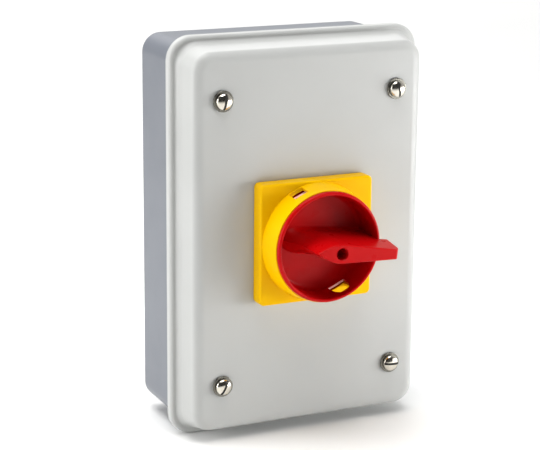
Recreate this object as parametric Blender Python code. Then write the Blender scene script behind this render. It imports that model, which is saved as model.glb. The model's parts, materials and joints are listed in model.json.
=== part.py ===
"""Enclosed rotary isolator switch with a padlockable red and yellow handle, built as an assembly.

Metres, +Z up. The box stands against a wall at y = 0 and the handle faces -Y. "Depth" is the
distance in front of the wall, so a point at depth d has y = -d. The origin is on the wall, on the
handle's axis. The switch is at rest in its OFF position, with the handle's pointer to the right.
"""

import math

import bmesh
import bpy
from mathutils import Matrix, Vector

# ---- fits ----
GAP = 0.0003            # between pieces that touch
SHANK_CLEARANCE = 0.00035  # round a screw's shank
SLIDE_CLEARANCE = 0.00035  # each side of a square or a slot

# ---- box ----
COVER_W = 0.1330
COVER_H = 0.1990
BOX_INSET = 0.0044      # the box's sides stand in this far from the cover's rim
BOX_DEPTH = 0.0442
BOX_WALL = 0.0025
BOX_BACK = 0.0030
BOX_CORNER_R = 0.0095
BOX_BACK_ROUND = 0.0012
WALL_HOLE_R = 0.00275
WALL_HOLE_INSET = (0.0220, 0.0150)  # from the box's side and from its end

# ---- cover ----
COVER_T = 0.0020
RIM_H = 0.0050          # height of the rim above its rear edge
RIM_W = 0.0042          # from the rim's outer edge to the foot of the raised part
RIM_DIP = 0.0004        # depth of the shallow trough along the rim
RAISE_H = 0.0166        # the face above the rim
DRAFT_W = 0.0015        # the raised part's sides lean in this much
FOOT_R = 0.0040
FACE_EDGE_R = 0.0053    # width of the round edge between side and face
FACE_EDGE_H = 0.0041    # and its height
RIM_CORNER_R = 0.0120
GASKET_T = 0.0008

# ---- cover fixings ----
SCREW_INSET = (0.02025, 0.02900)  # of each screw from the cover's side and from its end
POST_R = 0.0045
SCREW_R = 0.0020
SCREW_HEAD_R = 0.0041
SCREW_HEAD_H = 0.0026
SCREW_ENGAGE = 0.0080   # how far the shank goes into the post
WASHER_R = 0.0052
WASHER_T = 0.0009
SLOT_W = 0.0011
SLOT_DEPTH = 0.0012
SCREW_SLOTS = {"tl": 81.0, "tr": 100.0, "bl": 63.0, "br": -3.0}  # degrees from +X toward +Z

# ---- front plate and collar ----
PLATE = 0.0600
PLATE_T = 0.0079
PLATE_CORNER_R = 0.0025
PLATE_EDGE = 0.0011
COLLAR_INSET = 0.0010   # of the collar's foot from the plate's sides
COLLAR_TAPER = 0.0013
COLLAR_WALL = 0.0010    # at its front edge
COLLAR_FOOT_WALL = 0.0018
COLLAR_H = 0.0122
PLATE_FLOOR = 0.0037
LOCK_ANGLE = 115.2      # of the first padlock slot; the second is opposite
LOCK_SLOT_W = 0.0075
LOCK_SLOT_H = 0.0068
LOCK_SLOT_RISE = 0.0007  # from the plate's face to the slot
PLATE_SCREW_INSET = 0.0057  # from the plate's sides
PLATE_GROOVE_INSET = 0.0070
PLATE_GROOVE_R = 0.0195
PLATE_GROOVE_DEPTH = 0.0009
PLATE_SCREW_R = 0.0015
PLATE_SCREW_HEAD_R = 0.0028
PLATE_SCREW_HEAD_H = 0.0018
PLATE_SCREW_COVER = 0.0018  # plastic left in front of the screw's hole

# ---- handle ----
DROOP = -6.2            # degrees: the bar's play on its square shaft, and its set in the cup
CUP_CLEARANCE = 0.0004  # all round, in the collar
CUP_RIM_T = 0.0019
CUP_WALL = 0.0010
CUP_DRAFT = 0.0003
CUP_FLOOR = 0.0022
CUP_FILLET = 0.0026
CUP_FLARE = 0.0007      # of the bore at the rim's front edge
CUP_FLARE_H = 0.0016
BAR_RISE = 0.0132       # bar's front face above the cup's rim
BAR_TIP = 0.0128        # pointed end, behind the axis
BAR_OVERHANG = 0.0038   # blunt end, past the cup's rim
BAR_HALF = 0.0047
BAR_END_HALF = 0.0023
BAR_FOOT_HALF = 0.0065
BAR_FOOT_TIP = 0.0215
HOLE_R = 0.0029
HUB_R = 0.0070
HUB_CLEARANCE = 0.0060  # from the latch's cap to the hub's end
WINDOW_TURN = -1.0      # degrees from the collar's slots when the switch is OFF
WINDOW_W = 0.0094
WINDOW_H = 0.0114
WINDOW_SIDE = 0.0030    # straight part of the window's sides
WINDOW_RISE = 0.0006    # from the plate's face to the window's straight edge

# ---- drive ----
SHAFT = 0.0060          # across the flats
HANDLE_SCREW_R = 0.0015
HANDLE_SCREW_HEAD_R = 0.0025
HANDLE_SCREW_HEAD_H = 0.0020
SHAFT_SCREW_DEPTH = 0.0070

# ---- small screws: head radius, head height, and how deep the shank goes ----
SMALL_SCREW_R = 0.0015
SMALL_HOLE_R = 0.0019
RAIL_SCREW = (0.0028, 0.0020, 0.0030)
EARTH_SCREW = (0.0032, 0.0022, 0.0090)
TIE_SCREW = (0.0029, 0.0021, 0.0024)
RAIL_SCREW_INSET = 0.0070  # from the rail's ends

# ---- rail and switch stack ----
RAIL_LENGTH = 0.0620
RAIL_W = 0.0350
RAIL_H = 0.0075
RAIL_T = 0.0010
RAIL_FLANGE = 0.0045
BASE_T = 0.0038
DECK_W = 0.0460
DECK_H = 0.0620
DECK_T = 0.0088
POLES = 3
POLE_PITCH = 0.0140
ROTOR_R = 0.0126
ROTOR_CLEARANCE = 0.0004
CONTACT_T = 0.0014
CONTACT_W = 0.0070
CONTACT_LIFT = 0.0056   # contact floor above the deck's back
BLADE_W = 0.0110
TERMINAL_Z = 0.0245
TERMINAL_SCREW_R = 0.0017
TERMINAL_HEAD_R = 0.0030
TERMINAL_HEAD_H = 0.0022
NOTCH_W = 0.0096
TIE_X = 0.0195
TIE_SCREW_R = 0.0017

# ---- latch ----
LATCH_H = 0.0410
LATCH_T = 0.0080
LATCH_FLOOR = 0.0018
LATCH_CAP_T = 0.0016
STAR_R = 0.0081
STAR_RISE = 0.0007
PLUNGER_W = 0.0054
PLUNGER_L = 0.0034
SPRING_R = 0.0020
SPRING_WIRE_R = 0.00035
SPRING_TURNS = 4

# ---- earth bar and cable entries ----
EARTH_BAR = (0.0300, 0.0090, 0.0070)  # width, height, thickness
EARTH_PAD = 0.0030
EARTH_RISE = 0.0156     # from the box's floor end to the bar's middle
EARTH_PITCH = 0.0160
ENTRY_X = 0.0280
ENTRY_DEPTH = 0.0220
ENTRY_R = 0.0099
PLUG_HEAD_R = 0.0122
PLUG_HEAD_T = 0.0022
PLUG_REACH = 0.0090

# ---- what follows from the sizes above ----
SCREW_X = COVER_W / 2 - SCREW_INSET[0]
SCREW_Z = COVER_H / 2 - SCREW_INSET[1]
BOX_W = COVER_W - 2 * BOX_INSET
BOX_H = COVER_H - 2 * BOX_INSET
EARTH_Z = EARTH_RISE + BOX_WALL - BOX_H / 2
RIM_BACK = BOX_DEPTH + 2 * GAP + GASKET_T + COVER_T - RIM_H
FACE = RIM_BACK + RIM_H + RAISE_H
COVER_UNDER = FACE - COVER_T
PLATE_SCREW = PLATE / 2 - PLATE_SCREW_INSET
COLLAR_BASE_R = PLATE / 2 - COLLAR_INSET
COLLAR_TIP_R = COLLAR_BASE_R - COLLAR_TAPER
COLLAR_BORE_R = COLLAR_TIP_R - COLLAR_WALL
CUP_RIM_R = COLLAR_TIP_R - CUP_CLEARANCE
CUP_WALL_R = COLLAR_BORE_R - CUP_CLEARANCE
CUP_BORE_R = CUP_WALL_R - CUP_WALL
BAR_REACH = CUP_RIM_R + BAR_OVERHANG
PLATE_BACK = FACE + GAP
PLATE_FACE = PLATE_BACK + PLATE_T
COLLAR_FRONT = PLATE_FACE + COLLAR_H
PLATE_FLOOR_FACE = PLATE_BACK + PLATE_FLOOR
CUP_RIM_BACK = COLLAR_FRONT + CUP_CLEARANCE
CUP_RIM_FRONT = CUP_RIM_BACK + CUP_RIM_T
CUP_BACK = PLATE_FLOOR_FACE + 0.0006
CUP_FLOOR_FACE = CUP_BACK + CUP_FLOOR
BAR_FRONT = CUP_RIM_FRONT + BAR_RISE
WINDOW_BACK = PLATE_FACE + WINDOW_RISE
SCREW_SEAT = CUP_FLOOR_FACE + 0.0020
SOCKET_END = CUP_BACK + 0.0004
SHAFT_END = SOCKET_END - 0.0004
RAIL_BACK = BOX_BACK + GAP
BASE_BACK = RAIL_BACK + RAIL_H + GAP
DECKS_BACK = BASE_BACK + BASE_T + GAP
DECK_PITCH = DECK_T + GAP
LATCH_BACK = DECKS_BACK + POLES * DECK_PITCH
LATCH_CAP_BACK = LATCH_BACK + LATCH_T + GAP
HUB_BACK = LATCH_CAP_BACK + LATCH_CAP_T + HUB_CLEARANCE
POST_TOP = BOX_DEPTH + 0.0014
SLEEVE_BACK = POST_TOP + 0.0004
SHAFT_CORNER_R = SHAFT / math.sqrt(2)
SHAFT_HOLE_R = SHAFT_CORNER_R + SLIDE_CLEARANCE
BORE_R = ROTOR_R + ROTOR_CLEARANCE
RAIL_SCREW_X = RAIL_LENGTH / 2 - RAIL_SCREW_INSET
CORNERS = {"tl": (-1, 1), "tr": (1, 1), "bl": (-1, -1), "br": (1, -1)}


# ---- outlines: lists of (x, z) ----
def circle(radius, count=24, centre=(0.0, 0.0)):
    turns = [2 * math.pi * i / count for i in range(count)]
    return [(centre[0] + radius * math.cos(a), centre[1] + radius * math.sin(a)) for a in turns]


def rounded_rect(width, height, radius, count=5, centre=(0.0, 0.0)):
    """A rectangle with round corners, count points along each corner."""
    points = []
    for corner, (sx, sz) in enumerate(((1, 1), (-1, 1), (-1, -1), (1, -1))):
        cx = centre[0] + sx * (width / 2 - radius)
        cz = centre[1] + sz * (height / 2 - radius)
        for i in range(count):
            angle = math.radians(90 * (corner + i / (count - 1)))
            points.append((cx + radius * math.cos(angle), cz + radius * math.sin(angle)))
    return points


def rect(width, height, centre=(0.0, 0.0)):
    x, z = centre
    return [
        (x + width / 2, z + height / 2),
        (x - width / 2, z + height / 2),
        (x - width / 2, z - height / 2),
        (x + width / 2, z - height / 2),
    ]


def box_outline(x0, x1, z0, z1):
    return rect(x1 - x0, z1 - z0, ((x0 + x1) / 2, (z0 + z1) / 2))


def turned_by(outline, degrees):
    c, s = math.cos(math.radians(degrees)), math.sin(math.radians(degrees))
    return [(x * c - z * s, x * s + z * c) for x, z in outline]


def at_depth(outline, depth):
    return [Vector((x, -depth, z)) for x, z in outline]


# ---- solids ----
def loft(rings, loop=False):
    """A closed skin that joins each ring of points to the next; a looped stack makes a tube."""
    bm = bmesh.new()
    rows = [[bm.verts.new(point) for point in ring] for ring in rings]
    for a, b in zip(rows, rows[1:] + (rows[:1] if loop else [])):
        for i in range(len(a)):
            j = (i + 1) % len(a)
            bm.faces.new((a[i], a[j], b[j], b[i]))
    if not loop:
        bm.faces.new(rows[0])
        bm.faces.new(rows[-1])
    bmesh.ops.recalc_face_normals(bm, faces=bm.faces)
    return bm


def prism(outline, back, front):
    return loft([at_depth(outline, back), at_depth(outline, front)])


def turned(profile, count=24, centre=(0.0, 0.0), loop=False):
    """A solid turned about a line along Y. The profile is (radius, depth) pairs."""
    rings = [at_depth(circle(radius, count, centre), depth) for radius, depth in profile]
    return loft(rings, loop)


def washer_solid(inner, outer, back, front, count=24, centre=(0.0, 0.0)):
    profile = [(outer, back), (outer, front), (inner, front), (inner, back)]
    return turned(profile, count, centre, loop=True)


def make(name, bm, material, smooth=True):
    """Stores a solid as a named object, with smooth shading except over sharp edges."""
    mesh = bpy.data.meshes.new(name)
    bm.to_mesh(mesh)
    bm.free()
    mesh.materials.append(material)
    if smooth:
        mesh.shade_smooth()
        mesh.set_sharp_from_angle(angle=math.radians(35))
    made = bpy.data.objects.new(name, mesh)
    bpy.context.scene.collection.objects.link(made)
    return made


def combine(target, operation, *solids):
    """Cuts or joins solids into an object with exact Booleans, and keeps only the result."""
    for solid in solids:
        tool = make("tool", solid, target.data.materials[0], smooth=False)
        modifier = target.modifiers.new("combine", "BOOLEAN")
        modifier.operation = operation
        modifier.solver = "EXACT"
        modifier.object = tool
        graph = bpy.context.evaluated_depsgraph_get()
        result = bpy.data.meshes.new_from_object(target.evaluated_get(graph))
        target.modifiers.clear()
        old = target.data
        target.data = result
        bpy.data.meshes.remove(old)
        tool_mesh = tool.data
        bpy.data.objects.remove(tool)
        bpy.data.meshes.remove(tool_mesh)
    target.data.name = target.name
    target.data.set_sharp_from_angle(angle=math.radians(35))
    return target


def cut(target, *solids):
    return combine(target, "DIFFERENCE", *solids)


def join(target, *solids):
    return combine(target, "UNION", *solids)


def moved(bm, location=(0, 0, 0), rotation=None):
    matrix = Matrix.Translation(Vector(location)) @ (rotation or Matrix.Identity(4))
    bmesh.ops.transform(bm, matrix=matrix, verts=bm.verts)
    return bm


def set_origin(piece, location):
    """Puts an object's origin at a point without moving its shape."""
    piece.data.transform(Matrix.Translation(-Vector(location)))
    piece.location = location
    return piece


# ---- materials ----
def material(name, colour, roughness, metallic=0.0):
    """Colour is in sRGB from 0 to 255, and becomes linear here."""
    made = bpy.data.materials.new(name)
    made.use_nodes = True
    linear = [((c / 255 + 0.055) / 1.055) ** 2.4 if c > 10 else c / 255 / 12.92 for c in colour]
    shader = made.node_tree.nodes["Principled BSDF"]
    shader.inputs["Base Color"].default_value = (*linear, 1.0)
    shader.inputs["Roughness"].default_value = roughness
    shader.inputs["Metallic"].default_value = metallic
    made.diffuse_color = (*linear, 1.0)
    return made


# ---- enclosure ----
def cover_corner_r(inset):
    """The cover's corner radius at a distance in from the rim's outer edge."""
    shallow = RIM_CORNER_R - 0.4 * min(inset, RIM_W + DRAFT_W)
    return max(shallow - 0.9 * max(inset - RIM_W - DRAFT_W, 0.0), 0.0015)


def cover_ring(inset, height):
    outline = rounded_rect(COVER_W - 2 * inset, COVER_H - 2 * inset, cover_corner_r(inset))
    return at_depth(outline, RIM_BACK + height)


def arc(start, end, count, turn_in):
    """Points of a quarter ellipse between two (inset, height) points, without the first."""
    points = []
    for i in range(1, count + 1):
        a = math.pi / 2 * i / count
        across, up = (1 - math.cos(a), math.sin(a)) if turn_in else (math.sin(a), 1 - math.cos(a))
        points.append((start[0] + (end[0] - start[0]) * across,
                       start[1] + (end[1] - start[1]) * up))
    return points


def build_cover(paint):
    """A shallow tray: narrow rim with a trough, filleted foot, drafted sides and a round edge."""
    foot = RIM_W - 0.0016
    wall_foot = (RIM_W, RIM_H + FOOT_R)
    wall_top = (RIM_W + DRAFT_W, RIM_H + RAISE_H - FACE_EDGE_H)
    face = (RIM_W + DRAFT_W + FACE_EDGE_R, RIM_H + RAISE_H)
    outer = [(0.0, 0.0), (0.0, RIM_H - 0.0008), (0.0003, RIM_H - 0.0002), (0.0009, RIM_H)]
    outer += [(foot - 0.0006, RIM_H - RIM_DIP)]
    outer += arc((foot - 0.0006, RIM_H - RIM_DIP), wall_foot, 3, turn_in=False)
    outer += [wall_top] + arc(wall_top, face, 4, turn_in=True)
    under_foot = RIM_W + 1.1 * COVER_T
    inner = [(COVER_T, 0.0), (COVER_T, RIM_H - COVER_T), (under_foot, RIM_H - COVER_T)]
    inner += [(under_foot, wall_foot[1]), (wall_top[0] + COVER_T, wall_top[1])]
    inner += arc((wall_top[0] + COVER_T, wall_top[1]),
                 (face[0] + 0.0012, face[1] - COVER_T), 2, turn_in=True)
    rings = [cover_ring(*point) for point in reversed(inner)]
    rings += [cover_ring(*point) for point in outer]
    cover = make("cover", loft(rings), paint)
    for sx, sz in CORNERS.values():
        place = (sx * SCREW_X, sz * SCREW_Z)
        join(cover, turned([(POST_R, SLEEVE_BACK), (POST_R, COVER_UNDER + COVER_T / 2)], 12, place))
    for sx, sz in CORNERS.values():
        place = (sx * SCREW_X, sz * SCREW_Z)
        hole_r = SCREW_R + SHANK_CLEARANCE
        cut(cover, turned([(hole_r, SLEEVE_BACK - 0.002), (hole_r, FACE + 0.002)], 10, place))
    hub_hole = HUB_R + 0.0012
    cut(cover, turned([(hub_hole, COVER_UNDER - 0.002), (hub_hole, FACE + 0.002)], 24))
    for sign in (1, -1):
        place = (sign * PLATE_SCREW, -sign * PLATE_SCREW)
        hole_r = PLATE_SCREW_R + SHANK_CLEARANCE
        cut(cover, turned([(hole_r, COVER_UNDER - 0.002), (hole_r, FACE + 0.002)], 10, place))
    return cover


def build_cover_gasket(rubber):
    """A flat seal between the box's front edge and the rim's underside."""
    outer = rounded_rect(BOX_W, BOX_H, BOX_CORNER_R)
    inner = rounded_rect(BOX_W - 2 * BOX_WALL, BOX_H - 2 * BOX_WALL, BOX_CORNER_R - BOX_WALL)
    back = BOX_DEPTH + GAP
    front = back + GASKET_T
    rings = [at_depth(outer, back), at_depth(outer, front)]
    rings += [at_depth(inner, front), at_depth(inner, back)]
    return make("cover_gasket", loft(rings, loop=True), rubber)


def build_base_box(plastic):
    """A deep tray with four posts, an earth-bar pad, wall-fixing holes and two cable entries."""
    inside_w, inside_h = BOX_W - 2 * BOX_WALL, BOX_H - 2 * BOX_WALL
    inside_r = BOX_CORNER_R - BOX_WALL
    outline = rounded_rect(BOX_W, BOX_H, BOX_CORNER_R)
    back = rounded_rect(BOX_W - 2 * BOX_BACK_ROUND, BOX_H - 2 * BOX_BACK_ROUND,
                        BOX_CORNER_R - BOX_BACK_ROUND)
    inside = rounded_rect(inside_w, inside_h, inside_r)
    rings = [at_depth(back, 0.0), at_depth(outline, BOX_BACK_ROUND), at_depth(outline, BOX_DEPTH)]
    rings += [at_depth(inside, BOX_DEPTH), at_depth(inside, BOX_BACK)]
    box = make("base_box", loft(rings), plastic)
    for sx, sz in CORNERS.values():
        place = (sx * SCREW_X, sz * SCREW_Z)
        join(box, turned([(POST_R, BOX_BACK / 2), (POST_R, POST_TOP)], 12, place))
    pad_w, pad_h = EARTH_BAR[0] + 0.004, EARTH_BAR[1] + 0.003
    join(box, prism(rect(pad_w, pad_h, (0, EARTH_Z)), BOX_BACK / 2, BOX_BACK + EARTH_PAD))
    for sx, sz in CORNERS.values():
        place = (sx * SCREW_X, sz * SCREW_Z)
        hole_r = SCREW_R + SHANK_CLEARANCE
        hole_back = POST_TOP - SCREW_ENGAGE - 0.003
        cut(box, turned([(hole_r, hole_back), (hole_r, POST_TOP + 0.002)], 10, place))
        wall_hole = (sx * (BOX_W / 2 - WALL_HOLE_INSET[0]), sz * (BOX_H / 2 - WALL_HOLE_INSET[1]))
        cut(box, turned([(WALL_HOLE_R, -0.002), (WALL_HOLE_R, BOX_BACK + 0.002)], 12, wall_hole))
    for sign in (1, -1):
        drilled = turned([(ENTRY_R + SLIDE_CLEARANCE, -0.004), (ENTRY_R + SLIDE_CLEARANCE, 0.004)], 20)
        turn = Matrix.Rotation(math.pi / 2, 4, "X")
        moved(drilled, (sign * ENTRY_X, -ENTRY_DEPTH, -(BOX_H - BOX_WALL) / 2), turn)
        cut(box, drilled)
    for x in (-RAIL_SCREW_X, RAIL_SCREW_X):
        cut(box, turned([(SMALL_HOLE_R, BOX_BACK - 0.0022), (SMALL_HOLE_R, BOX_BACK + 0.002)],
                        10, (x, 0)))
    for sign in (1, -1):
        hole = (sign * EARTH_PITCH / 2, EARTH_Z)
        cut(box, turned([(SMALL_HOLE_R, BOX_BACK - 0.001), (SMALL_HOLE_R, 0.012)], 10, hole))
    return box


def build_entry_plug(name, sign, plastic):
    """A blanking plug in a cable entry: a round head outside and a hollow skirt inside."""
    outside = BOX_H / 2 + GAP
    profile = [(PLUG_HEAD_R - 0.0006, PLUG_HEAD_T), (PLUG_HEAD_R, PLUG_HEAD_T - 0.0008)]
    profile += [(PLUG_HEAD_R, 0.0), (ENTRY_R, 0.0), (ENTRY_R, -PLUG_REACH)]
    profile += [(ENTRY_R - 0.0018, -PLUG_REACH), (ENTRY_R - 0.0018, -0.001)]
    turn = Matrix.Rotation(math.pi / 2, 4, "X")
    solid = moved(turned(profile, 20), (sign * ENTRY_X, -ENTRY_DEPTH, -outside), turn)
    return make(name, solid, plastic)


# ---- screws ----
def screw_solid(place, seat, shank_r, reach, head_r, head_h, count=12):
    """A round-headed screw along Y. The head's underside is at depth seat, and its tip behind."""
    profile = [(shank_r - 0.0004, seat - reach), (shank_r, seat - reach + 0.0006), (shank_r, seat)]
    profile += [(head_r, seat), (head_r, seat + 0.35 * head_h)]
    profile += [(0.86 * head_r, seat + 0.72 * head_h), (0.45 * head_r, seat + head_h)]
    return turned(profile, count, place)


def build_screw(name, metal, place, seat, shank_r, reach, head_r, head_h, slot=None, count=12):
    solid = screw_solid(place, seat, shank_r, reach, head_r, head_h, count)
    piece = make(name, solid, metal)
    if slot is not None:
        groove = turned_by(rect(2.4 * head_r, SLOT_W), slot)
        groove = [(x + place[0], z + place[1]) for x, z in groove]
        cut(piece, prism(groove, seat + head_h - SLOT_DEPTH, seat + head_h + 0.001))
    return piece


def build_cover_fixings(metal):
    for corner, (sx, sz) in CORNERS.items():
        place = (sx * SCREW_X, sz * SCREW_Z)
        back = FACE + GAP
        hole_r = SCREW_R + SHANK_CLEARANCE
        solid = washer_solid(hole_r, WASHER_R, back, back + WASHER_T, 20, place)
        make("screw_washer_" + corner, solid, metal)
        seat = back + WASHER_T + GAP
        reach = seat - POST_TOP + SCREW_ENGAGE
        build_screw("cover_screw_" + corner, metal, place, seat, SCREW_R, reach,
                    SCREW_HEAD_R, SCREW_HEAD_H, SCREW_SLOTS[corner], 14)


# ---- front plate ----
def gasket_solid(gap, back, front):
    """A square frame with a round hole, as a ring of quads from the hole out to the square."""
    half = PLATE / 2 - PLATE_GROOVE_INSET - gap
    hole = circle(PLATE_GROOVE_R + gap, 24)
    square = [(x * half / max(abs(x), abs(z)), z * half / max(abs(x), abs(z))) for x, z in hole]
    rings = [at_depth(square, back), at_depth(square, front)]
    rings += [at_depth(hole, front), at_depth(hole, back)]
    return loft(rings, loop=True)


def build_front_plate(plastic):
    """A square plate with a conical collar, two padlock slots and a bore for the handle's cup."""
    steps = [(0.0, PLATE_BACK), (0.0, PLATE_FACE - PLATE_EDGE),
             (0.3 * PLATE_EDGE, PLATE_FACE - 0.3 * PLATE_EDGE), (PLATE_EDGE, PLATE_FACE)]
    rings = [at_depth(rounded_rect(PLATE - 2 * s, PLATE - 2 * s, PLATE_CORNER_R, 3), d)
             for s, d in steps]
    plate = make("front_plate", loft(rings), plastic)
    join(plate, turned([(COLLAR_BASE_R, PLATE_FACE - 0.002), (COLLAR_BASE_R, PLATE_FACE),
                        (COLLAR_TIP_R, COLLAR_FRONT)], 40))
    foot_bore_r = COLLAR_BASE_R - COLLAR_FOOT_WALL
    bore = [(foot_bore_r, PLATE_FLOOR_FACE), (foot_bore_r, PLATE_FACE)]
    bore += [(COLLAR_BORE_R, COLLAR_FRONT), (COLLAR_BORE_R, COLLAR_FRONT + 0.002)]
    cut(plate, turned(bore, 40))
    shaft_bore = HUB_R + 0.0006
    cut(plate, turned([(shaft_bore, PLATE_BACK - 0.002), (shaft_bore, PLATE_FACE)], 24))
    seal_r = HUB_R + 0.0032
    cut(plate, turned([(seal_r, PLATE_BACK - 0.002), (seal_r, PLATE_BACK + 0.0024)], 24))
    cut(plate, gasket_solid(0.0, PLATE_BACK - 0.0015, PLATE_BACK + PLATE_GROOVE_DEPTH))
    for sign in (1, -1):
        place = (sign * PLATE_SCREW, -sign * PLATE_SCREW)
        hole_r = PLATE_SCREW_R + SHANK_CLEARANCE
        cut(plate, turned([(hole_r, PLATE_BACK - 0.002), (hole_r, PLATE_FACE - PLATE_SCREW_COVER)],
                          10, place))
    middle = (COLLAR_BORE_R + COLLAR_BASE_R) / 2
    for angle in (LOCK_ANGLE, LOCK_ANGLE + 180):
        outline = turned_by(rect(0.008, LOCK_SLOT_W, (middle, 0)), angle)
        slot_back = PLATE_FACE + LOCK_SLOT_RISE
        cut(plate, prism(outline, slot_back, slot_back + LOCK_SLOT_H))
    return plate


def build_plate_gasket(rubber):
    """A flat square seal in a groove of the plate's back."""
    front = PLATE_BACK + PLATE_GROOVE_DEPTH - GAP
    return make("plate_gasket", gasket_solid(GAP, PLATE_BACK, front), rubber)


# ---- handle ----
def bar_outline(u_tip, u_end, half, end_half, sharp, count=9):
    """A leaf: a tip on the left, widest over the axis, tapering to a blunt end on the right."""
    upper = []
    for i in range(count):
        u = u_tip * (1 - (i / (count - 1)) ** 1.3)
        upper.append((u, half * (1 - (u / u_tip) ** sharp) + 0.0002))
    for i in (1, 2, 3):
        k = i / 3
        upper.append((u_end * k, half + (end_half - half) * k))
    lower = [(u, -w) for u, w in reversed(upper)]
    return turned_by(upper + lower, DROOP)


def bar_solid():
    """The grip bar: its sides flare toward the cup's floor and its tip sweeps back to the wall."""
    foot = CUP_FLOOR_FACE - 0.0008
    height = BAR_FRONT - foot
    levels = [0.0, 0.22, 0.44, 0.47, 0.62, 0.78, 0.9, 1.0]
    rings = []
    for level in levels:
        tip = -BAR_TIP - (BAR_FOOT_TIP - BAR_TIP) * max(0.0, (level - 0.5) / 0.5) ** 1.6
        half = BAR_HALF + (BAR_FOOT_HALF - BAR_HALF) * level ** 1.4
        end_half = BAR_END_HALF + (BAR_FOOT_HALF - 0.0008 - BAR_END_HALF) * level ** 0.9
        reach = BAR_REACH if level < 0.455 else CUP_BORE_R + 0.0004
        rings.append(at_depth(bar_outline(tip, reach, half, end_half, 1.8 + 1.2 * level),
                              BAR_FRONT - level * height))
    return loft(rings)


def build_handle(plastic):
    """A dished cup with a grip bar across it, two padlock windows and a hub with a square socket."""
    fillet = [(CUP_BORE_R - CUP_DRAFT - CUP_FILLET * (1 - math.sin(a)),
               CUP_FLOOR_FACE + CUP_FILLET * (1 - math.cos(a)))
              for a in (math.radians(x) for x in (0, 30, 60, 90))]
    profile = [(HUB_R, HUB_BACK), (HUB_R, CUP_BACK), (CUP_WALL_R - CUP_DRAFT - 0.0012, CUP_BACK)]
    profile += [(CUP_WALL_R - CUP_DRAFT, CUP_BACK + 0.0012), (CUP_WALL_R, CUP_RIM_BACK)]
    profile += [(CUP_RIM_R, CUP_RIM_BACK), (CUP_RIM_R, CUP_RIM_FRONT - 0.0005)]
    profile += [(CUP_RIM_R - 0.0005, CUP_RIM_FRONT), (CUP_BORE_R + CUP_FLARE, CUP_RIM_FRONT)]
    profile += [(CUP_BORE_R, CUP_RIM_FRONT - CUP_FLARE_H)] + fillet[::-1]
    handle = make("handle", turned(profile, 40), plastic)
    middle = (CUP_WALL_R + CUP_BORE_R) / 2 - CUP_DRAFT
    bar = bar_solid()
    join(handle, bar)
    for angle in (LOCK_ANGLE + WINDOW_TURN, LOCK_ANGLE + WINDOW_TURN + 180):
        half, rise = WINDOW_W / 2, WINDOW_H - WINDOW_SIDE
        arch = [(half, 0.0)]
        arch += [(half * math.cos(a), WINDOW_SIDE + rise * math.sin(a))
                 for a in (math.pi * i / 8 for i in range(9))]
        arch += [(-half, 0.0)]
        rings = []
        for radius in (middle - 0.0022, middle + 0.0026):
            ring = [Vector((radius, -(WINDOW_BACK + up), across)) for across, up in arch]
            rings.append(ring)
        turn = Matrix.Rotation(-math.radians(angle), 4, "Y")
        cut(handle, moved(loft(rings), rotation=turn))
    cut(handle, turned([(HOLE_R, SCREW_SEAT), (HOLE_R, BAR_FRONT + 0.002)], 16))
    socket = SHAFT + 2 * SLIDE_CLEARANCE
    cut(handle, prism(rect(socket, socket), HUB_BACK - 0.002, SOCKET_END))
    bore = HANDLE_SCREW_R + SHANK_CLEARANCE
    cut(handle, turned([(bore, SOCKET_END - 0.001), (bore, SCREW_SEAT + 0.001)], 10))
    return handle


# ---- drive ----
def build_drive_shaft(metal):
    chamfer = 0.0006
    side = SHAFT / 2
    outline = []
    for quarter in range(4):
        outline += turned_by([(side, side - chamfer), (side - chamfer, side)], 90 * quarter)
    shaft = make("drive_shaft", prism(outline, DECKS_BACK - 0.0015, SHAFT_END), metal, smooth=False)
    bore = HANDLE_SCREW_R + SHANK_CLEARANCE
    cut(shaft, turned([(bore, SHAFT_END - SHAFT_SCREW_DEPTH - 0.001), (bore, SHAFT_END + 0.002)], 10))
    return shaft


def socket_cut(back, front):
    socket = SHAFT + 2 * SLIDE_CLEARANCE
    return prism(rect(socket, socket), back, front)


def build_rotor(number, plastic, copper):
    """A disc that carries one pole's bridging contact past the deck's two fixed contacts."""
    back = DECKS_BACK + (number - 1) * DECK_PITCH + 0.0004
    front = back + DECK_T - 0.0008
    floor = DECKS_BACK + (number - 1) * DECK_PITCH + CONTACT_LIFT
    rotor = make(f"rotor_{number}", prism(circle(ROTOR_R, 32), back, front), plastic)
    groove = rect(2.4 * ROTOR_R, BLADE_W + 2 * GAP)
    cut(rotor, prism(groove, floor, front + 0.002), socket_cut(back - 0.001, front + 0.001))
    blade_back = floor + GAP
    half = BLADE_W / 2
    reach = ROTOR_R
    side = math.asin(half / reach)
    ends = [side * (i / 3) for i in (-3, -1.5, 0, 1.5, 3)]
    outline = [(reach * math.cos(a), reach * math.sin(a)) for a in ends]
    outline += [(-x, -z) for x, z in outline]
    blade = make(f"moving_contact_{number}", prism(outline, blade_back, blade_back + CONTACT_T), copper)
    hole_r = SHAFT_HOLE_R
    cut(blade, turned([(hole_r, blade_back - 0.001), (hole_r, blade_back + CONTACT_T + 0.001)], 16))


def build_star_wheel(plastic):
    """The latch's four-lobed wheel; a valley faces each plunger in OFF and in ON."""
    outline = []
    for i in range(40):
        a = 2 * math.pi * i / 40
        radius = STAR_R - STAR_RISE * math.cos(4 * a)
        outline.append((radius * math.cos(a), radius * math.sin(a)))
    back = LATCH_BACK + LATCH_FLOOR + 0.0004
    front = LATCH_BACK + LATCH_T - 0.0004
    star = make("star_wheel", prism(outline, back, front), plastic)
    return cut(star, socket_cut(back - 0.001, front + 0.001))


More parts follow.
